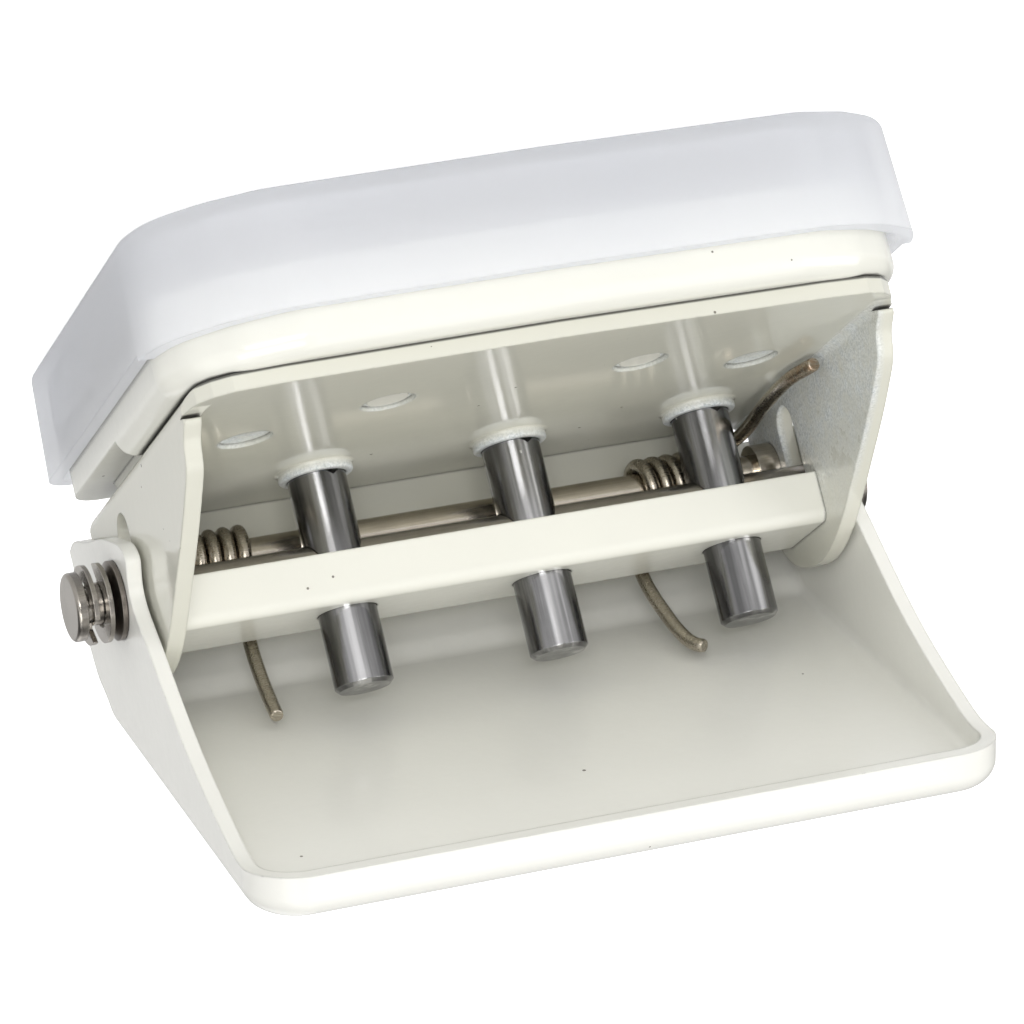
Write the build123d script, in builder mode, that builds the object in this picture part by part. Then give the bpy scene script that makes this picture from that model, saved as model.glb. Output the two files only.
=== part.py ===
from build123d import *
import os

# Three-hole punch for personal-organiser paper.
# Frame: X to the right seen from the front, -Y to the front (the side the
# lever opens to), +Z up.  Origin on the resting plane at mid-width, 13.5 mm in
# front of the row of pins.
# All lengths in millimetres.

os.makedirs("parts", exist_ok=True)

# ------------------------------------------------------------------ shared sizes
base_top = 14.5            # height of the base's top face above the table
sheet = 1.6                # sheet thickness of the frame
die_floor = 2.8            # thickness of the die part of the base
reach = 45.0               # half width of cutters that pass right through in X

# row of pins, to the left of the frame's middle
hole_pitch = 19.0
row_x, row_y = -4.6, 13.5  # middle pin
row = [(row_x + step * hole_pitch, row_y) for step in (-1, 0, 1)]
pin_d = 5.5                # punch pin and hole diameter
pin_bore_r = pin_d / 2 + 0.05

# frame walls
wall_in = 31.75            # inner faces of the side walls, from mid-width
wall_out = wall_in + sheet
rear_in = 23.5             # inner face of the rear wall
rear_out = rear_in + sheet

# rivets between frame and base
rivet_xy = [(-11.4, -6.9), (12.6, -6.9)]
rivet_r = 1.4
dimple_depth = 0.45        # the rivet heads sit in dimples of the frame

# lever axle and spring rod
axle_y, axle_z, axle_r = row_y, base_top + 10.70, 1.92
axle_bore_r = axle_r + 0.05
rod_y, rod_z, rod_r = 19.5, base_top + 7.40, 1.70
spigot_r = 1.25            # reduced ends of the spring rod

# lever ears
lever_sheet = 1.4
ear_in = 33.85             # inner faces of the ears, from mid-width
ear_out = ear_in + lever_sheet


# ------------------------------------------------------------------ helpers
def save(builder, name):
    """label a finished piece and write its STEP file"""
    builder.part.label = name
    export_step(builder.part, f"parts/{name}.step")


def over_base(*points):
    """points whose last coordinate is given as a height above the base's top face"""
    return [(*point[:-1], base_top + point[-1]) for point in points]


def mirrored(left_half):
    """whole plan outline from its left half, which ends on the middle line"""
    return left_half + [(-x, y) for x, y in reversed(left_half[:-1])]


def round_plan(plan, rear_r, front_r):
    """round the two rear corners and all front corners of the current sketch"""
    fillet(plan.vertices().sort_by(Axis.Y)[-2:], rear_r)
    fillet(plan.vertices().filter_by(lambda v: v.Y < 0), front_r)


# ------------------------------------------------------------------ chip tray
tray_hw = 36.3             # half width at the rim
tray_front, tray_rear = -25.6, 27.2
tray_rim = base_top - 3.4
tray_wall = 1.3
rim_step = 0.45            # side and rear walls below the front wall
rib_length, rib_width, rib_height = 66, 1.0, 0.95
rib_sink = 0.05            # overlap of the ribs with the floor


def tray_plan(taper, wall):
    """plan of the tray; taper is 1 at the foot and 0 at the rim, wall insets it"""
    half_w = tray_hw - 0.4 * taper - wall
    rear = tray_rear - 0.4 * taper - wall
    front = tray_front + 0.3 * taper + wall
    inset = 0.25 * taper + 0.9 * wall
    return mirrored([
        (-half_w, rear),
        (-half_w, -15.6 + inset),
        (-34.9 + inset, -19.8 + inset),
        (-30.4 + inset * 0.7, -23.0 + inset),
        (-25.1 + inset * 0.4, -24.9 + inset),
        (0, front),
    ])


with BuildPart() as chip_tray:
    for z, taper in ((0, 1), (tray_rim, 0)):
        with BuildSketch(Plane.XY.offset(z)) as outside:
            with BuildLine():
                Polyline(*tray_plan(taper, 0), close=True)
            make_face()
            round_plan(outside, 3.0, 7.0)
    loft()
    fillet(chip_tray.edges().filter_by(lambda e: e.center().Z < 0.01), 1.2)
    for z, taper in ((tray_wall, 1), (tray_rim + 0.01, 0)):
        with BuildSketch(Plane.XY.offset(z)) as inside:
            with BuildLine():
                Polyline(*tray_plan(taper, tray_wall), close=True)
            make_face()
            round_plan(inside, 1.9, 6.0)
    loft(mode=Mode.SUBTRACT)
    # the side and rear walls stand a little lower than the front wall
    with BuildSketch(Plane.XY.offset(tray_rim - rim_step)):
        with Locations((0, 8)):
            Rectangle(2 * reach, 46)
    extrude(amount=3.0, mode=Mode.SUBTRACT)
    # two shallow ribs across the floor
    with BuildSketch(Plane.XY.offset(tray_wall - rib_sink)):
        with Locations((0, -9), (0, 11)):
            Rectangle(rib_length, rib_width)
    extrude(amount=rib_height)
save(chip_tray, "chip_tray")


# ------------------------------------------------------------------ base
base_hw = 34.6             # half width
base_front, base_rear = -22.6, 25.4
skirt_depth = 8.2
skirt_wall = 1.2
gap_depth = 0.8            # paper gap over the dies
gap_floor_hw = 31.5        # half width of the raised floor of the gap
paper_stop_y = 4.5
lead_y = 19.0              # start of the deeper lead-in
lead_run = 1.1             # length of its slope
lead_depth = 1.6
cut_rear = 40              # rear end of the cutters, clear of the base
margin_cut_w = 20
die_bore_r = pin_d / 2 + 0.06
hole_depth = 8             # hole cutters, deeper than the floor


def base_plan(inset):
    """plan of the base pressing"""
    half_w = base_hw - inset
    front = base_front + inset
    return mirrored([
        (-half_w, base_rear - inset),
        (-half_w, -14.4),
        (-half_w + 2.0, -18.0),
        (-half_w + 6.0, -20.6 + inset * 0.6),
        (-half_w + 11.5, front + 0.5),
        (0, front - 0.2),
    ])


gap_mid_y = (paper_stop_y + cut_rear) / 2
gap_length = cut_rear - paper_stop_y
margin_x = gap_floor_hw + margin_cut_w / 2

with BuildPart() as base_plate:
    with BuildSketch(Plane.XY.offset(base_top - skirt_depth)) as outside:
        with BuildLine():
            Polyline(*base_plan(0.0), close=True)
        make_face()
        round_plan(outside, 3.0, 6.0)
    extrude(amount=skirt_depth)
    fillet(base_plate.edges().filter_by(lambda e: e.center().Z > base_top - 0.01), 1.9)
    with BuildSketch(Plane.XY.offset(base_top - skirt_depth)) as inside:
        with BuildLine():
            Polyline(*base_plan(skirt_wall), close=True)
        make_face()
        round_plan(inside, 2.0, 5.0)
    extrude(amount=skirt_depth - die_floor, mode=Mode.SUBTRACT)
    # thin paper gap over the dies, behind the paper stop
    with BuildSketch(Plane.XY.offset(base_top - gap_depth)):
        with Locations((0, gap_mid_y)):
            Rectangle(2 * reach, gap_length)
    extrude(amount=3, mode=Mode.SUBTRACT)
    # lower margins beside it
    with BuildSketch(Plane.XY.offset(base_top - lead_depth)):
        with Locations((-margin_x, gap_mid_y), (margin_x, gap_mid_y)):
            Rectangle(margin_cut_w, gap_length)
    extrude(amount=3, mode=Mode.SUBTRACT)
    # deeper lead-in at the rear
    with BuildSketch(Plane.YZ.offset(-reach)):
        with BuildLine():
            Polyline(*over_base((lead_y, -gap_depth), (lead_y + lead_run, -lead_depth),
                                (cut_rear, -lead_depth), (cut_rear, 2), (lead_y, 2)), close=True)
        make_face()
    extrude(amount=2 * reach, mode=Mode.SUBTRACT)
    # die holes, then rivet holes for the frame
    for places, radius in ((row, die_bore_r), (rivet_xy, rivet_r)):
        with BuildSketch(Plane.XY.offset(base_top)):
            with Locations(*places):
                Circle(radius)
        extrude(amount=-hole_depth, mode=Mode.SUBTRACT)
save(base_plate, "base_plate")


# ------------------------------------------------------------------ frame
frame_front = -21.0        # front end of the channel before its plan is trimmed
channel_height = 22
plate_front = -19.55
plate_top = base_top + sheet
rear_top = base_top + 11.5
rear_foot = base_top + 1.2
rear_width = 61.0
collar_r, collar_top = 3.5, base_top + 2.5
dimple_r = 2.5
outer_dimples = [(-24.0, -1.5), (24.6, -1.5)]
slot_w = 4.10              # guide slots for the axle
slot_bottom, slot_top = base_top + 2.85, base_top + 12.85

# side view (y, height above the base's top): plate and the fold under the rear wall
plate_side = over_base(
    (-15.8, sheet), (frame_front, sheet), (frame_front, -0.1), (0, -0.1),
    (23.7, 0), (24.2, 0.1), (24.75, 0.5), (rear_out, 1.3), (rear_out, 2.4),
    (23.4, 2.6), (23.4, 11.0))
# upper edge of the side walls (y, height above the base's top), rear to front
wall_edge = over_base(
    (23.4, 11.0), (22.4, 14.2), (20.0, 16.7), (16.8, 17.95), (13.0, 18.3),
    (9.5, 17.7), (6.0, 16.4), (2.5, 14.6), (-1.5, 12.4), (-5.6, 10.1),
    (-10.0, 7.3), (-12.0, 5.5), (-13.2, 3.4), (-14.3, 2.1), (-15.8, sheet))
# plan (x, y) with rounded front corners, left half
frame_plan = mirrored([
    (-wall_out - 1, 26), (-wall_out - 1, -13.6), (-33.2, -14.4), (-32.5, -16.6),
    (-31.3, -18.0), (-29.6, -18.9), (-25.0, plate_front + 0.1), (0, plate_front - 0.55)])


def collar_edges(z):
    """outer circles of the collars at height z"""
    return punch_frame.edges().filter_by(GeomType.CIRCLE).filter_by(
        lambda e: abs(e.center().Z - z) < 0.02 and abs(e.radius - collar_r) < 0.01)


with BuildPart() as punch_frame:
    # channel section: plate and two side walls with rounded folds
    with BuildSketch(Plane.XZ.offset(-frame_front)):
        with Locations((0, base_top + channel_height / 2)):
            RectangleRounded(2 * wall_out, channel_height, 1.5)
        with Locations((0, plate_top + 15)):
            RectangleRounded(2 * wall_in, 30, 0.8, mode=Mode.SUBTRACT)
    extrude(amount=-(rear_out - frame_front))
    # trim to the side view
    with BuildSketch(Plane.YZ.offset(-reach)):
        with BuildLine():
            Polyline(*plate_side)
            Spline(*wall_edge, tangents=[(0, 1), (-1, -0.1)])
        make_face()
    extrude(amount=2 * reach, mode=Mode.INTERSECT)
    # trim to the plan
    with BuildSketch(Plane.XY.offset(base_top - 1)):
        with BuildLine():
            Polyline(*frame_plan, close=True)
        make_face()
    extrude(amount=30, mode=Mode.INTERSECT)
    # rear wall, open at its corners
    with BuildSketch(Plane.XY.offset(rear_foot)):
        with Locations((0, (rear_in + rear_out) / 2)):
            Rectangle(rear_width, sheet)
    extrude(amount=rear_top - rear_foot)
    # collars drawn up around the pins
    with BuildSketch(Plane.XY.offset(plate_top)):
        with Locations(*row):
            Circle(collar_r)
    extrude(amount=collar_top - plate_top)
    fillet(collar_edges(plate_top), 0.3)
    fillet(collar_edges(collar_top), 0.25)
    with BuildSketch(Plane.XY.offset(base_top + 8)):
        with Locations(*row):
            Circle(pin_bore_r)
    extrude(amount=-12, mode=Mode.SUBTRACT)
    # round dimples in the plate
    with BuildSketch(Plane.XY.offset(plate_top)):
        with Locations(*outer_dimples, *rivet_xy):
            Circle(dimple_r)
    extrude(amount=-dimple_depth, mode=Mode.SUBTRACT)
    # rivet holes in the two inner dimples
    with BuildSketch(Plane.XY.offset(plate_top)):
        with Locations(*rivet_xy):
            Circle(rivet_r)
    extrude(amount=-4, mode=Mode.SUBTRACT)
    # vertical guide slots for the lever axle, in both walls
    with BuildSketch(Plane.YZ.offset(-reach)):
        with Locations((axle_y, (slot_bottom + slot_top) / 2)):
            SlotOverall(slot_top - slot_bottom, slot_w, rotation=90)
    extrude(amount=2 * reach, mode=Mode.SUBTRACT)
    # round holes for the spring rod
    with BuildSketch(Plane.YZ.offset(-reach)):
        with Locations((rod_y, rod_z)):
            Circle(spigot_r)
    extrude(amount=2 * reach, mode=Mode.SUBTRACT)
save(punch_frame, "punch_frame")


# ------------------------------------------------------------------ rivets
rivet_head_r, rivet_head_h = 2.0, 0.22
rivet_foot_r, rivet_foot_h = 2.4, 0.9
rivet_bottom = base_top - die_floor
dimple_floor = plate_top - dimple_depth

with BuildPart() as frame_rivets:
    # shanks
    with BuildSketch(Plane.XY.offset(rivet_bottom)):
        with Locations(*rivet_xy):
            Circle(rivet_r)
    extrude(amount=dimple_floor - rivet_bottom)
    # heads in the dimples
    with BuildSketch(Plane.XY.offset(dimple_floor)):
        with Locations(*rivet_xy):
            Circle(rivet_head_r)
    extrude(amount=rivet_head_h, taper=30)
    # feet under the base
    with BuildSketch(Plane.XY.offset(rivet_bottom)):
        with Locations(*rivet_xy):
            Circle(rivet_foot_r)
    extrude(amount=-rivet_foot_h, taper=15)
save(frame_rivets, "frame_rivets")


# ------------------------------------------------------------------ guide bar
bar_front, bar_rear = 8.82, 20.14
bar_top = base_top + 15.32
front_flange_z, rear_flange_z = base_top + 10.62, base_top + 11.2  # lower edges
bar_sheet = 1.56

with BuildPart() as guide_bar:
    # inverted channel
    with BuildSketch(Plane.YZ.offset(-wall_in)):
        with BuildLine():
            Polyline(
                (bar_front, front_flange_z),
                (bar_front, bar_top),
                (bar_rear, bar_top),
                (bar_rear, rear_flange_z),
                (bar_rear - bar_sheet, rear_flange_z),
                (bar_rear - bar_sheet, bar_top - bar_sheet),
                (bar_front + bar_sheet, bar_top - bar_sheet),
                (bar_front + bar_sheet, front_flange_z),
                close=True)
        make_face()
    extrude(amount=2 * wall_in)
    fillet(guide_bar.edges().filter_by(Axis.X).filter_by(
        lambda e: e.center().Z > bar_top - 0.02), 1.1)
    with BuildSketch(Plane.XY.offset(bar_top + 1)):
        with Locations(*row):
            Circle(pin_bore_r)
    extrude(amount=-4, mode=Mode.SUBTRACT)
save(guide_bar, "guide_bar")


# ------------------------------------------------------------------ pins
pin_top = base_top + 22.6
pin_tip = base_top + 1.30       # cutting tips at rest
pin_notch = base_top + 2.95     # bottom of the saddle between the tips
vee_slope = (pin_notch - pin_tip) / (pin_d / 2)
vee_turn = -19                  # turn of the vee about the pin, degrees
vee_hw, vee_reach = 4.0, 6      # half width and half length of its cutter


def make_pin(pin_x, name):
    with BuildPart() as pin:
        with BuildSketch(Plane.XY.offset(pin_tip)):
            with Locations((pin_x, row_y)):
                Circle(pin_d / 2)
        extrude(amount=pin_top - pin_tip)
        chamfer(pin.edges().filter_by(GeomType.CIRCLE).sort_by(Axis.Z)[-1], 0.35)
        # vee cut across the pin: the plane's y axis runs down, so positive is into the tip
        vee = Plane(origin=(pin_x, row_y, pin_notch),
                    x_dir=Vector(1, 0, 0).rotate(Axis.Z, vee_turn),
                    z_dir=Vector(0, 1, 0).rotate(Axis.Z, vee_turn))
        with BuildSketch(vee.offset(-vee_reach)):
            with BuildLine():
                Polyline((0, 0), (vee_hw, vee_hw * vee_slope), (vee_hw, 9), (-vee_hw, 9),
                         (-vee_hw, vee_hw * vee_slope), close=True)
            make_face()
        extrude(amount=2 * vee_reach, mode=Mode.SUBTRACT)
        # cross hole for the axle
        with BuildSketch(Plane.YZ.offset(pin_x - 5)):
            with Locations((axle_y, axle_z)):
                Circle(axle_bore_r)
        extrude(amount=10, mode=Mode.SUBTRACT)
    save(pin, name)


for (pin_x, _), side in zip(row, ("left", "middle", "right")):
    make_pin(pin_x, f"punch_pin_{side}")


# ------------------------------------------------------------------ spring rod
spigot_end = wall_out + 0.05
bush_r, bush_length = 2.6, 2.1
bush_end = wall_in - 0.02

with BuildPart() as spring_rod:
    for half_length, radius in ((wall_in, rod_r), (spigot_end, spigot_r)):
        with BuildSketch(Plane.YZ.offset(-half_length)):
            with Locations((rod_y, rod_z)):
                Circle(radius)
        extrude(amount=2 * half_length)
save(spring_rod, "spring_rod")

# bushes on the spring rod, against the walls
with BuildPart() as spring_rod_bushes:
    for left_end in (-bush_end, bush_end - bush_length):
        with BuildSketch(Plane.YZ.offset(left_end)):
            with Locations((rod_y, rod_z)):
                Circle(bush_r)
                Circle(rod_r + 0.02, mode=Mode.SUBTRACT)
        extrude(amount=bush_length)
save(spring_rod_bushes, "spring_rod_bushes")


# ------------------------------------------------------------------ springs
wire_r = 0.68
coil_r = 2.44              # mean coil radius
coil_pitch = 1.42
points_per_coil = 14


def make_spring(name, start_x, side, coils, lever_leg, plate_leg):
    """torsion spring; its coil starts at start_x and winds outwards to side (-1 left, 1 right)"""
    steps = int(coils * points_per_coil)
    coil = []
    for i in range(steps + 1):
        turns = coils * i / steps
        centre = Vector(start_x + side * coil_pitch * turns, rod_y, rod_z)
        coil.append(centre + Vector(0, coil_r, 0).rotate(Axis.X, -360.0 * turns))
    with BuildPart() as spring:
        with BuildLine() as centre_line:
            Spline(*lever_leg, *coil, *plate_leg)
        wire = centre_line.edges()[0]
        with BuildSketch(Plane(origin=wire @ 0, z_dir=wire % 0)):
            Circle(wire_r)
        sweep(is_frenet=True)
    save(spring, name)


# legs: x, y, height above the base's top
make_spring(
    "torsion_spring_right", start_x=20.9, side=1, coils=5.25,
    lever_leg=over_base((22.4, 15.9, 23.35), (22.3, 17.3, 21.6), (22.1, 19.5, 18.4),
                        (21.9, 21.0, 15.0), (21.4, 21.9, 10.8)),
    plate_leg=over_base((28.4, 15.6, 4.25), (28.9, 10.0, 3.25), (29.4, 4.0, 2.75),
                        (30.3, -0.5, 2.65)))
make_spring(
    "torsion_spring_left", start_x=-18.0, side=-1, coils=6.25,
    lever_leg=over_base((-19.15, 15.0, 24.0), (-18.3, 16.2, 23.1), (-17.6, 18.2, 20.3),
                        (-17.0, 20.7, 15.6), (-17.2, 21.8, 11.0)),
    plate_leg=over_base((-28.4, 15.6, 4.25), (-28.9, 10.0, 3.25), (-29.4, 4.0, 2.7),
                        (-30.4, -0.5, 2.65)))


# ------------------------------------------------------------------ axle
axle_left, axle_right = -37.6, 38.8
axle_head_r, axle_head_w = 3.15, 1.0
groove_r, groove_w = 1.5, 0.5
# clips: name, left side of the groove, turn about the axle in degrees
clips = [
    ("e_clip_inner_right", 36.5, 20),
    ("e_clip_outer_right", 37.9, -150),
    ("e_clip_left", -37.1, 60),
]

with BuildPart() as hinge_axle:
    with BuildSketch(Plane.YZ.offset(axle_left)):
        with Locations((axle_y, axle_z)):
            Circle(axle_r)
    extrude(amount=axle_right - axle_left)
    chamfer(hinge_axle.edges().filter_by(GeomType.CIRCLE).sort_by(Axis.X)[0], 0.35)
    # head at the right end
    with BuildSketch(Plane.YZ.offset(axle_right)):
        with Locations((axle_y, axle_z)):
            Circle(axle_head_r)
    extrude(amount=axle_head_w)
    fillet(hinge_axle.edges().filter_by(GeomType.CIRCLE).sort_by(Axis.X)[-1], 0.35)
    # grooves for the clips
    for _, groove_x, _ in clips:
        with BuildSketch(Plane.YZ.offset(groove_x)):
            with Locations((axle_y, axle_z)):
                Circle(axle_r + 0.5)
                Circle(groove_r, mode=Mode.SUBTRACT)
        extrude(amount=groove_w, mode=Mode.SUBTRACT)
save(hinge_axle, "hinge_axle")


# ------------------------------------------------------------------ clips
clip_play = 0.03           # on each side, in the groove
clip_out_r, clip_in_r = 3.65, 2.25


def make_clip(name, groove_x, turn):
    """three-lobed snap clip in its groove"""
    with BuildPart() as clip:
        clip_plane = Plane(origin=(groove_x + clip_play, axle_y, axle_z),
                           x_dir=Vector(0, 1, 0).rotate(Axis.X, turn), z_dir=(1, 0, 0))
        with BuildSketch(clip_plane):
            Circle(clip_out_r)
            Circle(clip_in_r, mode=Mode.SUBTRACT)
            # lobes
            with PolarLocations(1.87, 3, start_angle=90):
                Rectangle(0.68, 1.2)
            # mouth
            with Locations((0, -3.2)):
                Rectangle(2.9, 3.4, mode=Mode.SUBTRACT)
        extrude(amount=groove_w - 2 * clip_play)
    save(clip, name)


for clip_name, groove_x, turn in clips:
    make_clip(clip_name, groove_x, turn)


# ------------------------------------------------------------------ dished washers
# half section: distance out from the ear, radius
dish_section = [
    (0, 3.65), (0.45, 3.65), (0.95, 2.5),
    (0.95, axle_r + 0.06), (0.5, axle_r + 0.06), (0.5, 2.4),
]


def make_dish(side, name):
    """dished spring washer, hollow side towards the lever"""
    rim_x = side * (ear_out + 0.05)
    with BuildPart() as dish:
        with BuildSketch(Plane.XY.offset(axle_z)):
            with BuildLine():
                Polyline(*[(rim_x + side * out, axle_y + radius) for out, radius in dish_section],
                         close=True)
            make_face()
        revolve(axis=Axis((0, axle_y, axle_z), (1, 0, 0)))
    save(dish, name)


make_dish(1, "dished_washer_right")
make_dish(-1, "dished_washer_left")


# ------------------------------------------------------------------ lever
lever_tilt = 37.3          # slope of the top panel at rest, degrees
panel_in = 13.0            # inside of the panel above the axle centre
panel_out = panel_in + lever_sheet
lip_out = 39.7             # lip in front of the axle, along the panel
lip_in = lip_out - lever_sheet
lip_depth = 4.4
lip_corner_r = 5.0

up = Vector(0, 0, 1).rotate(Axis.X, -lever_tilt)     # out of the panel
back = Vector(0, 1, 0).rotate(Axis.X, -lever_tilt)   # along the panel, to the rear
pivot = Vector(0, axle_y, axle_z)
corner_out = pivot + up * panel_out - back * lip_out
corner_in = pivot + up * panel_in - back * lip_in
lip_low = corner_out - up * lip_depth
panel_end_out = pivot + up * panel_out + back * 3.3
panel_end_in = pivot + up * panel_in + back * 3.2

# side view curves: y, height above the base's top
hollow_back = over_base((26.9, 4.7), (27.5, 10.5), (27.1, 12.8), (26.4, 15.0), (25.25, 16.75))
ear_edge = over_base(
    (-6.9, 39.55), (-3.9, 36.15), (1.9, 27.5), (6.0, 19.1), (7.9, 15.0),
    (9.0, 12.0), (8.5, 9.9), (7.75, 8.6), (8.3, 7.4), (10.3, 6.2),
    (14.9, 4.6), (22.0, 2.9), (25.7, 2.3), (27.6, 3.0), (28.4, 4.9))
lever_back = over_base((28.4, 4.9), (28.9, 10.5), (28.5, 13.1), (27.7, 15.7), (26.5, 17.6))


def yz(v):
    return (v.Y, v.Z)


def above(e):
    """height of an edge's middle over the axle, square to the panel"""
    return (e.center() - pivot).dot(up)


def behind(e):
    """place of an edge's middle along the panel, positive to the rear of the axle"""
    return (e.center() - pivot).dot(back)


def lip_corners(lever, side_x, lip):
    """edges where the lip meets the ears"""
    return lever.edges().filter_by(
        lambda e: abs(abs(e.center().X) - side_x) < 0.01 and abs(behind(e) + lip) < 0.02)


def on_panel(e, height):
    """whether an edge borders the flat panel"""
    return abs(above(e) - height) < 0.02 and behind(e) < 2.8


def on_back_fold(e):
    """whether an edge runs up the back of an ear"""
    return e.center().Y > 26 and abs(e.center().X) > 35 and 12 < e.length < 18


# hollow of the pan: everything between the ears, under the panel
with BuildPart() as lever_hollow:
    with BuildSketch(Plane.YZ.offset(-ear_in)):
        with BuildLine():
            Polyline(yz(panel_end_in), yz(corner_in), yz(corner_in - up * 34),
                     *over_base((-5, -10), (26.9, -10)), hollow_back[0])
            Spline(*hollow_back, yz(panel_end_in), tangents=[(0.05, 1), yz(back * -1)])
        make_face()
    extrude(amount=2 * ear_in)
    fillet(lip_corners(lever_hollow, ear_in, lip_in), lip_corner_r - lever_sheet)
    fillet(lever_hollow.edges().filter_by(lambda e: on_panel(e, panel_in)), 0.9)

with BuildPart() as handle:
    with BuildSketch(Plane.YZ.offset(-ear_out)):
        with BuildLine():
            Spline(yz(lip_low), *ear_edge, tangents=[yz(back), (0.75, 1)])
            Spline(*lever_back, yz(panel_end_out), tangents=[(0.03, 1), yz(back * -1)])
            Line(yz(panel_end_out), yz(corner_out))
            Line(yz(corner_out), yz(lip_low))
        make_face()
    extrude(amount=2 * ear_out)
    # rounded lip corners, then the folds along ears, back and lip
    fillet(lip_corners(handle, ear_out, lip_out), lip_corner_r)
    fillet(handle.edges().filter_by(lambda e: on_panel(e, panel_out) or on_back_fold(e)), 2.0)
    add(lever_hollow.part, mode=Mode.SUBTRACT)
    # axle holes
    with BuildSketch(Plane.YZ.offset(-reach)):
        with Locations((axle_y, axle_z)):
            Circle(axle_bore_r)
    extrude(amount=2 * reach, mode=Mode.SUBTRACT)
save(handle, "handle")
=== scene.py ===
"""Looks, springs and studio for a three-pin paper punch.

The punch lies on its base with +Z up. Its length runs along X, and the three pins stand in a row
along X at y = 13.5 mm. The lever's torsion springs coil around the X direction at y = 19.5 mm.
Sizes are in millimetres unless a name or comment says otherwise; MM turns them into metres.
"""
import math
from functools import reduce

import bpy
import numpy as np
from mathutils import Matrix, Vector


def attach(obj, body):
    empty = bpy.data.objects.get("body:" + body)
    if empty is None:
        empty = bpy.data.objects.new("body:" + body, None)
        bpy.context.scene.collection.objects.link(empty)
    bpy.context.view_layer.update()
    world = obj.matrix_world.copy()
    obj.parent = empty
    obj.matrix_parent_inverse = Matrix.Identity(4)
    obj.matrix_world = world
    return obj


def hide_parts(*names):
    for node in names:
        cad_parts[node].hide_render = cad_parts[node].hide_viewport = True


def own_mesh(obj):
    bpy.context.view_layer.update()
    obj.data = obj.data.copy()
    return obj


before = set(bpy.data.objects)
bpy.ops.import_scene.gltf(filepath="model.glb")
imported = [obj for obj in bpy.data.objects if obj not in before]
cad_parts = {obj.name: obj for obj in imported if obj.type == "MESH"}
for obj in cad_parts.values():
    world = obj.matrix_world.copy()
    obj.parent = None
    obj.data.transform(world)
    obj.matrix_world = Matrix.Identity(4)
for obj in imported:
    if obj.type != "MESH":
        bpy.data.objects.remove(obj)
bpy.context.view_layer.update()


MM = 0.001
BASE_TOP = 14.5                     # height of the base's top face

# collars and dimples on the punch frame
COLLAR_PITCH = 19.0
COLLAR_MIDDLE_X = -4.6
COLLAR_Y = 13.5
COLLARS = [(COLLAR_MIDDLE_X + step * COLLAR_PITCH, COLLAR_Y) for step in (-1, 0, 1)]
DIMPLES = [(-24.0, -1.5), (24.6, -1.5), (-11.4, -6.9), (12.6, -6.9)]

# torsion springs
SPRING_Y = 19.5
SPRING_Z = BASE_TOP + 7.40
COIL_RADIUS = 2.44
COIL_PITCH = 1.42
COIL_STEPS = 28                     # points in one turn
WIRE_RADIUS = 0.66
WIRE_SIDES = 20
RING_SPACING = 0.22                 # distance between rings along the wire
SWAGE_LENGTH = 0.25                 # the wire narrows over this length at each cut end
SWAGE_RATIO = 0.86                  # end radius over wire radius


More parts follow.
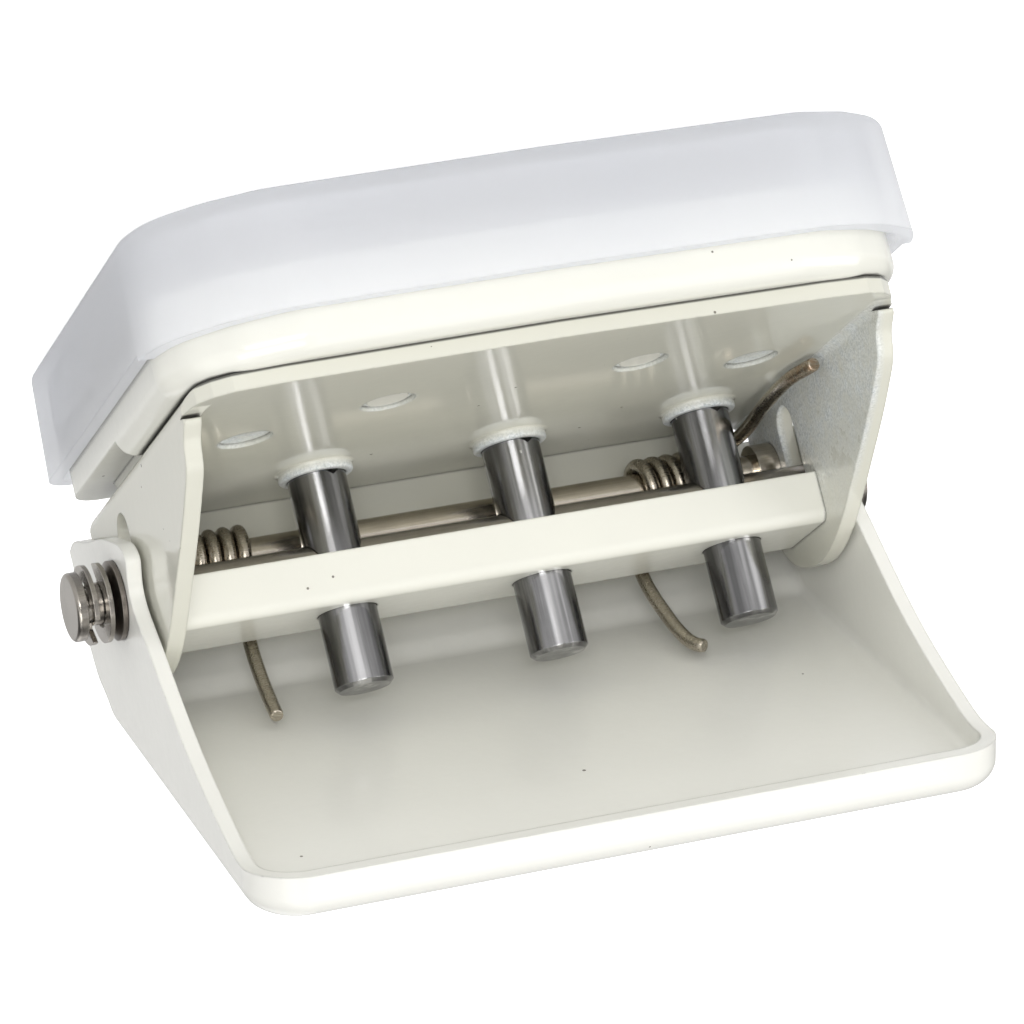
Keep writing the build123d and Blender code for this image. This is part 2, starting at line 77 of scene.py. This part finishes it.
# ---------------------------------------------------------------- shader helpers
class Shader:
    """The node tree of a material or world, with short calls for the nodes used here."""

    def __init__(self, owner, output="ShaderNodeOutputMaterial"):
        owner.use_nodes = True
        self.owner = owner
        self.tree = owner.node_tree
        self.tree.nodes.clear()
        self.output = self.node(output)

    def feed(self, socket, value):
        """Link a socket, or set a plain value; colours are given as three numbers."""
        if isinstance(value, bpy.types.NodeSocket):
            self.tree.links.new(value, socket)
        elif isinstance(value, tuple) and socket.type == "RGBA":
            socket.default_value = (*value, 1)
        else:
            socket.default_value = value

    def node(self, kind, *by_place, **by_name):
        """A new node, with its inputs fed by place or by name (underscores for spaces)."""
        node = self.tree.nodes.new(kind)
        for i, value in enumerate(by_place):
            self.feed(node.inputs[i], value)
        for name, value in by_name.items():
            self.feed(node.inputs[name.replace("_", " ")], value)
        return node

    def finish(self, shader):
        self.feed(self.output.inputs["Surface"], shader)
        return self.owner

    # arithmetic
    def calc(self, operation, *values, clamp=False):
        node = self.node("ShaderNodeMath", *values)
        node.operation = operation
        node.use_clamp = clamp
        return node.outputs["Value"]

    def times(self, value, by):
        return self.calc("MULTIPLY", value, by)

    def plus(self, value, other, clamp=False):
        return self.calc("ADD", value, other, clamp=clamp)

    def map_range(self, value, start, end):
        """0 at start, 1 at end"""
        node = self.node("ShaderNodeMapRange", From_Min=start, From_Max=end, Value=value)
        return node.outputs["Result"]

    def ramp(self, value, stops):
        """stops: (position, grey level)"""
        node = self.node("ShaderNodeValToRGB", value)
        elements = node.color_ramp.elements
        while len(elements) < len(stops):
            elements.new(0.5)
        for element, (position, grey) in zip(elements, stops):
            element.position = position
            element.color = (grey, grey, grey, 1)
        return node.outputs["Color"]

    def fade(self, value, start, end, at_start=0.0, at_end=1.0):
        return self.ramp(value, [(start, at_start), (end, at_end)])

    # colours and shaders
    def mix(self, factor, first, second):
        node = self.node("ShaderNodeMix")
        node.data_type = "RGBA"
        for i, value in ((0, factor), (6, first), (7, second)):
            self.feed(node.inputs[i], value)
        return node.outputs[2]

    def lay(self, colour, over, mask, strength):
        """Lay one colour over another where the mask is bright."""
        return self.mix(self.times(mask, by=strength), colour, over)

    def mix_shader(self, factor, first, second):
        return self.node("ShaderNodeMixShader", factor, first, second).outputs[0]

    # patterns
    def position(self, scale=(1, 1, 1)):
        """Object space in millimetres, so that pattern scales read as sizes."""
        coords = self.node("ShaderNodeTexCoord").outputs["Object"]
        mapping = self.node("ShaderNodeMapping", Scale=[s / MM for s in scale], Vector=coords)
        return mapping.outputs["Vector"]

    def stretched(self, axis, along, across):
        """Object space scaled differently along one axis, for streaks."""
        return self.position([along if name == axis else across for name in "XYZ"])

    def noise(self, vector, scale, detail=2.0, rough=0.5, distortion=0.0):
        return self.node("ShaderNodeTexNoise", Scale=scale, Detail=detail, Roughness=rough,
                         Distortion=distortion, Vector=vector).outputs["Fac"]

    def specks(self, vector, scale, size, share):
        """Dots of random size, in the given share of cells."""
        cells = self.node("ShaderNodeTexVoronoi", Scale=scale, Vector=vector)
        chance = self.node("ShaderNodeSeparateColor", cells.outputs["Color"])
        radius = self.times(chance.outputs[1], by=size)
        near = self.calc("LESS_THAN", cells.outputs["Distance"], radius)
        kept = self.calc("GREATER_THAN", chance.outputs[0], 1.0 - share)
        return self.times(near, by=kept)

    # surface shape
    def soft_edges(self, radius):
        node = self.node("ShaderNodeBevel", Radius=radius * MM)
        node.samples = 4
        return node.outputs["Normal"]

    def bump(self, height, depth, strength, edge_radius):
        """Relief on top of rounded edges."""
        return self.node("ShaderNodeBump", Strength=strength, Distance=depth * MM, Height=height,
                         Normal=self.soft_edges(edge_radius)).outputs["Normal"]

    def creases(self, reach):
        """0 deep in a crease, 1 on open faces; the mask for painted crease shade"""
        node = self.node("ShaderNodeAmbientOcclusion", Distance=reach * MM)
        node.samples = 4
        return self.map_range(node.outputs["AO"], start=0.42, end=0.72)

    def edge_mask(self, radius):
        """1 on edges, 0 on flat faces"""
        rounded = self.soft_edges(radius)
        flat = self.node("ShaderNodeNewGeometry").outputs["True Normal"]
        agreement = self.node("ShaderNodeVectorMath", rounded, flat)
        agreement.operation = "DOT_PRODUCT"
        bend = self.calc("SUBTRACT", 1.0, agreement.outputs["Value"])
        return self.map_range(bend, start=0.02, end=0.25)

    # masks by place
    def axes(self, space="Object"):
        coords = self.node("ShaderNodeTexCoord").outputs[space]
        return self.node("ShaderNodeSeparateXYZ", coords).outputs

    def box_mask(self, low=(None, None, None), high=(None, None, None), soft=0.6):
        """1 inside a box, fading over soft; None leaves a side open"""
        axes = self.axes()
        sides = []
        for i in range(3):
            for edge, sign in ((low[i], 1), (high[i], -1)):
                if edge is not None:
                    sides.append(self.map_range(axes[i], start=(edge - sign * soft) * MM,
                                                end=(edge + sign * soft) * MM))
        return reduce(self.times, sides)

    def disc_mask(self, x, y, radius, soft):
        """1 inside an upright cylinder"""
        axes = self.axes()
        dx = self.calc("SUBTRACT", axes[0], x * MM)
        dy = self.calc("SUBTRACT", axes[1], y * MM)
        distance = self.calc("SQRT", self.plus(self.times(dx, dx), self.times(dy, dy)))
        return self.map_range(distance, start=(radius + soft) * MM, end=(radius - soft) * MM)

    def disc_masks(self, centres, radius, soft):
        discs = [self.disc_mask(x, y, radius, soft) for x, y in centres]
        return reduce(lambda a, b: self.calc("MAXIMUM", a, b), discs)


def new_material(name):
    return Shader(bpy.data.materials.new(name))


def shade(colour, by, add=0.0):
    return tuple(min(1.0, c * by + add) for c in colour)


# ---------------------------------------------------------------- materials
def frame_dust(mat):
    """Where the frame's enamel went on dry: low on the -X wall, collar rims, dimples."""
    wall = mat.box_mask(low=(-32.3, None, None), high=(-31.0, None, None), soft=0.3)
    near = mat.box_mask(low=(None, -14, None), high=(None, None, BASE_TOP + 12), soft=5.0)
    corner = mat.times(mat.times(wall, near), by=0.95)
    rims = mat.disc_masks(COLLARS, radius=3.7, soft=0.25)
    rims = mat.times(rims, mat.box_mask(low=(None, None, BASE_TOP + 1.95), soft=0.3))
    dimples = mat.disc_masks(DIMPLES, radius=2.45, soft=0.35)
    return mat.calc("MAXIMUM", corner, mat.calc("MAXIMUM", rims, dimples))


def enamel(name, tint=(0.79, 0.787, 0.722), rough=0.20, grain=1.0, dust=None):
    """Cream gloss enamel: faint orange peel, sparse dark specks, thin worn edges.

    grain scales the relief; dust returns a mask of dry, powdery overspray.
    """
    mat = new_material(name)
    place = mat.position()
    broad = mat.noise(place, scale=0.035, detail=3, rough=0.55)
    fine = mat.noise(place, scale=1.6, detail=3, rough=0.6)
    colour = mat.mix(mat.fade(broad, start=0.3, end=0.7), shade(tint, by=0.955), tint)
    # a few dark grains under the gloss
    speck = mat.specks(place, scale=0.42, size=0.075, share=0.18)
    colour = mat.lay(colour, over=(0.10, 0.085, 0.065), mask=speck, strength=0.85)
    # the enamel pulls thin and greys a little on edges, with a few bare nicks
    edge = mat.edge_mask(radius=0.28)
    worn = mat.noise(place, scale=0.9, detail=4, rough=0.65)
    nick = mat.times(edge, mat.fade(worn, start=0.60, end=0.70))
    colour = mat.lay(colour, over=shade(tint, by=0.72), mask=edge, strength=0.16)
    colour = mat.lay(colour, over=(0.30, 0.29, 0.27), mask=nick, strength=0.45)
    # the offset keeps the noise centred on rough
    roughness = mat.plus(mat.times(fine, by=0.10), rough - 0.05)
    peel = mat.noise(place, scale=0.75)
    height = mat.plus(mat.times(peel, by=0.75), mat.times(fine, by=0.25))
    if dust is not None:
        dusty = dust(mat)
        grains = mat.noise(place, scale=4.2, detail=4, rough=0.75)
        patches = mat.noise(place, scale=0.55, detail=4, rough=0.7)
        patch = mat.times(dusty, mat.fade(patches, start=0.30, end=0.65, at_start=0.35))
        powder = mat.mix(mat.fade(grains, start=0.36, end=0.62),
                         (0.36, 0.41, 0.46), (0.88, 0.92, 0.96))
        colour = mat.lay(colour, over=powder, mask=patch, strength=0.80)
        roughness = mat.plus(roughness, mat.times(patch, by=0.45), clamp=True)
        height = mat.plus(height, mat.times(mat.times(grains, patch), by=2.2))
    # painted shade darkens the creases where two sheets meet; on the frame also a painted gap
    # shadow along its foot
    painted_crease_shade = mat.calc("SUBTRACT", 1.0, mat.creases(reach=0.55))
    if dust is not None:
        # a thin dark band just above the base's top: painted shadow of the gap between frame and
        # base
        foot = mat.box_mask(high=(None, None, BASE_TOP + 0.2), soft=0.07)
        painted_crease_shade = mat.calc("MAXIMUM", painted_crease_shade, foot)
    colour = mat.lay(colour, over=(0.035, 0.033, 0.03), mask=painted_crease_shade, strength=0.86)
    normal = mat.bump(height, depth=0.035 * grain, strength=0.55, edge_radius=0.30)
    body = mat.node("ShaderNodeBsdfPrincipled", Base_Color=colour, Roughness=roughness,
                    Normal=normal, IOR=1.5, Coat_Weight=0.25, Coat_Roughness=0.06)
    return mat.finish(body.outputs[0])


def spring_rust(mat):
    """The stretch of the spring feet that rusts"""
    return mat.box_mask(low=(None, -3, BASE_TOP + 1), high=(None, 3.5, BASE_TOP + 5), soft=1.5)


def steel(name, tint, rough, along, streak, spots=0.0, rust=None, coarse=0.25, bands=0.0):
    """Drawn or ground metal: fine streaks along one axis, faint smears, small dings.

    streak: how dark the streaks are    spots: share of cells with a ding
    coarse: scale of the smears         bands: strength of the painted reflection stripes
    rust:   returns a mask of where rust may grow
    """
    mat = new_material(name)
    drawn = mat.stretched(along, along=0.22, across=9.0)
    place = mat.position()
    fine = mat.noise(drawn, scale=1.0, detail=4, rough=0.65)
    smear = mat.noise(place, scale=coarse, detail=4, rough=0.6, distortion=0.6)
    colour = mat.mix(mat.fade(fine, start=0.32, end=0.68), shade(tint, by=1 - streak), tint)
    colour = mat.lay(colour, over=shade(tint, by=0.55),
                     mask=mat.fade(smear, start=0.45, end=0.75), strength=0.35)
    if bands:
        # painted reflection: dark, then bright stripes along the piece, standing in for
        # reflected studio light
        stripe = mat.noise(mat.stretched(along, along=0.02, across=1.0), scale=0.62)
        painted_dark_band = mat.fade(stripe, start=0.36, end=0.52, at_start=1.0, at_end=0.0)
        colour = mat.lay(colour, over=shade(tint, by=0.30), mask=painted_dark_band, strength=bands)
        painted_highlight_band = mat.fade(stripe, start=0.54, end=0.62)
        colour = mat.lay(colour, over=shade(tint, by=2.1), mask=painted_highlight_band, strength=bands)
    ding = mat.specks(place, scale=1.1, size=0.16, share=spots)
    colour = mat.lay(colour, over=(0.9, 0.9, 0.88), mask=ding, strength=0.8)
    if rust is not None:
        blotch = mat.noise(place, scale=1.3, detail=4, rough=0.7)
        rusty = mat.times(rust(mat), mat.fade(blotch, start=0.35, end=0.62))
        colour = mat.lay(colour, over=(0.33, 0.17, 0.075), mask=rusty, strength=0.6)
    colour = mat.lay(colour, over=shade(tint, by=1.5, add=0.08),
                     mask=mat.edge_mask(radius=0.18), strength=0.5)
    # the offset keeps the two noises close to rough
    roughness = mat.plus(mat.times(fine, by=0.16), mat.times(smear, by=0.12))
    roughness = mat.plus(roughness, rough - 0.13, clamp=True)
    height = mat.plus(mat.times(fine, by=0.5), mat.times(ding, by=1.6))
    normal = mat.bump(height, depth=0.010, strength=0.6, edge_radius=0.14)
    body = mat.node("ShaderNodeBsdfPrincipled", Base_Color=colour, Metallic=1.0,
                    Roughness=roughness, Normal=normal)
    return mat.finish(body.outputs[0])


def frosted(name):
    """Milky plastic: soft see-through, fine grain, slight flow clouds."""
    mat = new_material(name)
    place = mat.position()
    cloud = mat.noise(place, scale=0.045, detail=3)
    grain = mat.noise(place, scale=2.6, detail=3, rough=0.6)
    colour = mat.mix(cloud, (0.895, 0.91, 0.95), (0.945, 0.95, 0.97))
    flow = mat.noise(place, scale=0.22)
    height = mat.plus(mat.times(grain, by=0.6), mat.times(flow, by=1.6))
    normal = mat.bump(height, depth=0.02, strength=0.45, edge_radius=0.5)
    roughness = mat.plus(mat.times(grain, by=0.12), 0.36)
    # the faint bluish emission is painted light: it makes the tray glow a little
    body = mat.node("ShaderNodeBsdfPrincipled", Base_Color=colour, Roughness=roughness,
                    Normal=normal, IOR=1.45, Transmission_Weight=0.30,
                    Emission_Color=(0.93, 0.95, 1.0), Emission_Strength=0.03)
    veil = mat.node("ShaderNodeBsdfTranslucent", Color=colour)
    clear = mat.node("ShaderNodeBsdfTransparent")
    veil_share = 0.40
    clear_share = 0.26
    milky = mat.mix_shader(veil_share, body.outputs[0], veil.outputs[0])
    return mat.finish(mat.mix_shader(clear_share, milky, clear.outputs[0]))


def pale_floor():
    """Near-white, lifted towards white for the camera without lighting the object."""
    pale = (0.93, 0.93, 0.93)
    mat = new_material("pale_floor")
    colour = mat.mix(mat.noise(mat.position(), scale=0.01), shade(pale, by=0.985), pale)
    rays = mat.node("ShaderNodeLightPath")
    glow = mat.times(rays.outputs["Is Camera Ray"], by=0.62)
    body = mat.node("ShaderNodeBsdfPrincipled", Base_Color=colour, Roughness=0.7,
                    Emission_Strength=glow, Emission_Color=(1, 1, 1))
    return mat.finish(body.outputs[0])


cream = enamel("cream_enamel")
# the frame's copy of the cream enamel takes a darker tint: painted shade for the plate lying
# under the handle
cream_frame_shaded = enamel("cream_enamel_frame_shaded", tint=(0.66, 0.655, 0.575), rough=0.11, grain=0.55,
                     dust=frame_dust)
# the handle's copy takes a lighter, less yellow tint: painted light on the handle's inner face
cream_lever_lit = enamel("cream_enamel_lever_lit", tint=(0.835, 0.832, 0.785), rough=0.24, grain=1.1)
pin_steel = steel("ground_pin_steel", tint=(0.29, 0.288, 0.292), rough=0.17, along="Z",
                  streak=0.30, spots=0.05, bands=0.75)
nickel = steel("warm_nickel", tint=(0.66, 0.60, 0.51), rough=0.21, along="X",
               streak=0.22, spots=0.02)
hinge_steel = steel("hinge_nickel", tint=(0.40, 0.372, 0.335), rough=0.22, along="X",
                    streak=0.25, spots=0.03)
spring_wire = steel("spring_wire", tint=(0.52, 0.47, 0.39), rough=0.26, along="X",
                    streak=0.25, rust=spring_rust)
dark_steel = steel("tempered_steel", tint=(0.23, 0.205, 0.18), rough=0.34, along="Y",
                   streak=0.3, coarse=0.6)
tray_plastic = frosted("frosted_plastic")

PAINT = [
    (cream, ("base_plate", "guide_bar", "frame_rivets")),
    (cream_frame_shaded, ("punch_frame",)),
    (cream_lever_lit, ("handle",)),
    (pin_steel, ("punch_pin_left", "punch_pin_middle", "punch_pin_right")),
    (nickel, ("spring_rod", "spring_rod_bushes")),
    (hinge_steel, ("hinge_axle", "e_clip_inner_right", "e_clip_outer_right", "e_clip_left")),
    (dark_steel, ("dished_washer_right", "dished_washer_left")),
    (tray_plastic, ("chip_tray",)),
]
for material, pieces in PAINT:
    for piece in pieces:
        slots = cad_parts[piece].data.materials
        slots.clear()
        slots.append(material)


# ---------------------------------------------------------------- springs
def add_mesh(name, verts, faces):
    mesh = bpy.data.meshes.new(name)
    mesh.from_pydata(verts, [], faces)
    mesh.update()
    obj = bpy.data.objects.new(name, mesh)
    bpy.context.scene.collection.objects.link(obj)
    return obj


def smooth_line(points):
    """A Catmull-Rom line through the points: places, and their chord lengths from the start."""
    p = np.array(points, float)
    gaps = np.linalg.norm(np.diff(p, axis=0), axis=1)
    reach = np.concatenate([[0], np.cumsum(gaps)])
    stations = np.linspace(0, reach[-1], int(reach[-1] / RING_SPACING))
    last = len(p) - 1
    line = []
    for station in stations:
        i = int(np.clip(np.searchsorted(reach, station, side="right") - 1, 0, last - 1))
        u = (station - reach[i]) / gaps[i]
        start, end = p[i], p[i + 1]
        leave = arrive = end - start
        if i > 0:
            leave = (end - p[i - 1]) / (reach[i + 1] - reach[i - 1]) * gaps[i]
        if i + 2 <= last:
            arrive = (p[i + 2] - start) / (reach[i + 2] - reach[i]) * gaps[i]
        line.append((2 * u ** 3 - 3 * u ** 2 + 1) * start + (u ** 3 - 2 * u ** 2 + u) * leave
                    + (-2 * u ** 3 + 3 * u ** 2) * end + (u ** 3 - u ** 2) * arrive)
    return np.array(line), stations


def wire_mesh(name, points):
    """A round wire carried along a smooth line, with slightly swaged cut ends."""
    centres, stations = smooth_line(points)
    tangents = np.gradient(centres, axis=0)
    tangents /= np.linalg.norm(tangents, axis=1)[:, None]
    # any direction oblique to the wire starts the section frame
    across = np.cross(tangents[0], [0.31, 0.52, 0.79])
    across /= np.linalg.norm(across)
    verts = []
    for centre, tangent, station in zip(centres, tangents, stations):
        across = across - tangent * (across @ tangent)
        across /= np.linalg.norm(across)
        side = np.cross(tangent, across)
        to_end = min(station, stations[-1] - station)
        radius = WIRE_RADIUS
        if to_end < SWAGE_LENGTH:
            radius *= SWAGE_RATIO + (1 - SWAGE_RATIO) * to_end / SWAGE_LENGTH
        for j in range(WIRE_SIDES):
            angle = 2 * math.pi * j / WIRE_SIDES
            spoke = math.cos(angle) * across + math.sin(angle) * side
            verts.append(tuple((centre + radius * spoke) * MM))
    faces = []
    last_ring = len(verts) - WIRE_SIDES
    for ring in range(0, last_ring, WIRE_SIDES):
        for j in range(WIRE_SIDES):
            here, beside = ring + j, ring + (j + 1) % WIRE_SIDES
            faces.append((here, beside, beside + WIRE_SIDES, here + WIRE_SIDES))
    faces.append(tuple(reversed(range(WIRE_SIDES))))
    faces.append(tuple(range(last_ring, len(verts))))
    obj = add_mesh(name, verts, faces)
    for face in obj.data.polygons:
        face.use_smooth = len(face.vertices) == 4
    obj.data.materials.append(spring_wire)
    return obj


def coil_points(x_start, direction, turns):
    points = []
    count = int(turns * COIL_STEPS)
    for i in range(count + 1):
        angle = -2 * math.pi * turns * i / count
        points.append((x_start + direction * COIL_PITCH * turns * i / count,
                       SPRING_Y + COIL_RADIUS * math.cos(angle),
                       SPRING_Z + COIL_RADIUS * math.sin(angle)))
    return points


def above_base(points):
    return [(x, y, BASE_TOP + z) for x, y, z in points]


def spring_part(part, side, points):
    obj = wire_mesh(f"spring_{part}_{side}", points)
    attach(obj, "frame")
    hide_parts("torsion_spring_" + side)
    return obj


def spring(side, x_start, direction, turns, leg, foot):
    """Coil and foot, and the lever leg that the handle presses down, are all attached to the
    frame; the leg gets a mesh of its own.
    """
    coil = coil_points(x_start, direction, turns)
    spring_part("coil", side, coil + above_base(foot))
    arm = spring_part("leg", side, above_base(leg) + coil[:1])
    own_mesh(arm)


# leg: from its free end down to the coil; foot: from the coil out to its free end.
# Columns: x, y, height above the base's top face.
spring("right", x_start=20.9, direction=1, turns=5.25,
       leg=[(22.4, 15.9, 23.3), (22.3, 17.3, 21.6), (22.1, 19.5, 18.4), (21.9, 21.0, 15.0),
            (21.4, 21.9, 10.8)],
       foot=[(28.4, 15.6, 4.25), (28.9, 10.0, 3.25), (29.4, 4.0, 2.75), (30.3, -0.5, 2.65)])
spring("left", x_start=-18.0, direction=-1, turns=6.25,
       leg=[(-19.15, 15.0, 23.95), (-18.55, 15.75, 23.45), (-18.1, 16.6, 22.55),
            (-17.6, 18.2, 20.3), (-17.0, 20.7, 15.6), (-17.2, 21.8, 11.0)],
       foot=[(-28.4, 15.6, 4.25), (-28.9, 10.0, 3.25), (-29.4, 4.0, 2.7), (-30.4, -0.45, 2.7)])


# ---------------------------------------------------------------- floor, light, camera
def add_floor():
    half = 6.0          # metres
    z = -0.0002         # metres, just under the base
    corners = [(-half, -half, z), (half, -half, z), (half, half, z), (-half, half, z)]
    floor = add_mesh("floor", corners, [(0, 1, 2, 3)])
    floor.data.materials.append(pale_floor())


# brightness around the horizon that reflections see: (share of a turn, grey level)
STUDIO_PANELS = [
    (0.0, 0.10), (0.10, 0.12), (0.14, 0.95), (0.19, 0.95), (0.22, 0.12), (0.33, 0.16),
    (0.37, 1.0), (0.44, 1.0), (0.48, 0.14), (0.62, 0.08), (0.70, 0.45), (0.80, 0.45),
    (0.88, 0.10),
]


def add_world():
    """White to the camera, softer as light, bright panels with dark gaps in reflections."""
    world = bpy.data.worlds.new("studio")
    bpy.context.scene.world = world
    sky = Shader(world, "ShaderNodeOutputWorld")
    soft = sky.node("ShaderNodeBackground", Color=(1, 1, 1), Strength=0.58)
    seen = sky.node("ShaderNodeBackground", Color=(1, 1, 1), Strength=1.0)
    rays = sky.node("ShaderNodeLightPath").outputs
    plain = sky.mix_shader(rays["Is Camera Ray"], soft.outputs[0], seen.outputs[0])
    axes = sky.axes("Generated")
    azimuth = sky.calc("ARCTAN2", axes[1], axes[0])
    turn = sky.map_range(azimuth, start=-math.pi, end=math.pi)
    glossy = sky.node("ShaderNodeBackground", Strength=1.25,
                      Color=sky.ramp(turn, STUDIO_PANELS))
    sky.finish(sky.mix_shader(rays["Is Glossy Ray"], plain, glossy.outputs[0]))


def area_light(name, place, width, height, power, colour=(1, 1, 1)):
    """A rectangular light aimed at the punch; place and size in metres, power in watts."""
    light = bpy.data.lights.new(name, "AREA")
    light.shape = "RECTANGLE"
    light.size = width
    light.size_y = height
    light.energy = power
    light.color = colour
    obj = bpy.data.objects.new(name, light)
    obj.location = place
    aim = Vector((0, 0, 0.03)) - Vector(place)
    obj.rotation_euler = aim.to_track_quat("-Z", "Y").to_euler()
    bpy.context.scene.collection.objects.link(obj)


def add_camera():
    """On the -Y side, swung towards +X and slightly raised, rolled almost upside down."""
    azimuth = math.radians(19.017)
    elevation = math.radians(11.909)
    roll = math.radians(166.473)
    target = Vector((1.378, 0.0, 11.678 + BASE_TOP)) * MM
    distance = 0.4761   # metres

    back = Vector((math.sin(azimuth) * math.cos(elevation),
                   -math.cos(azimuth) * math.cos(elevation), math.sin(elevation)))
    level = Vector((math.cos(azimuth), math.sin(azimuth), 0))
    upright = back.cross(level)
    right = math.cos(roll) * level + math.sin(roll) * upright
    up = -math.sin(roll) * level + math.cos(roll) * upright
    pose = Matrix((right, up, back)).transposed().to_4x4()
    pose.translation = target + back * distance

    lens = bpy.data.cameras.new("camera")
    lens.sensor_width = 36.0
    lens.lens = 186.57421875
    lens.clip_start = 0.05
    camera = bpy.data.objects.new("camera", lens)
    camera.matrix_world = pose
    bpy.context.scene.collection.objects.link(camera)
    bpy.context.scene.camera = camera


add_floor()
add_world()
area_light("key", place=(0.35, -0.75, 0.75), width=0.55, height=0.55, power=4.1,
           colour=(1.0, 0.99, 0.97))
area_light("fill", place=(-0.8, -0.5, 0.35), width=0.6, height=0.6, power=3.1,
           colour=(1.0, 0.99, 0.965))
area_light("front_low", place=(0.25, -0.9, 0.12), width=0.35, height=0.2, power=2.1)
area_light("back", place=(0.1, 0.8, 0.6), width=0.6, height=0.6, power=1.0)
add_camera()
bpy.context.scene.view_settings.view_transform = "Standard"
bpy.context.scene.view_settings.look = "None"
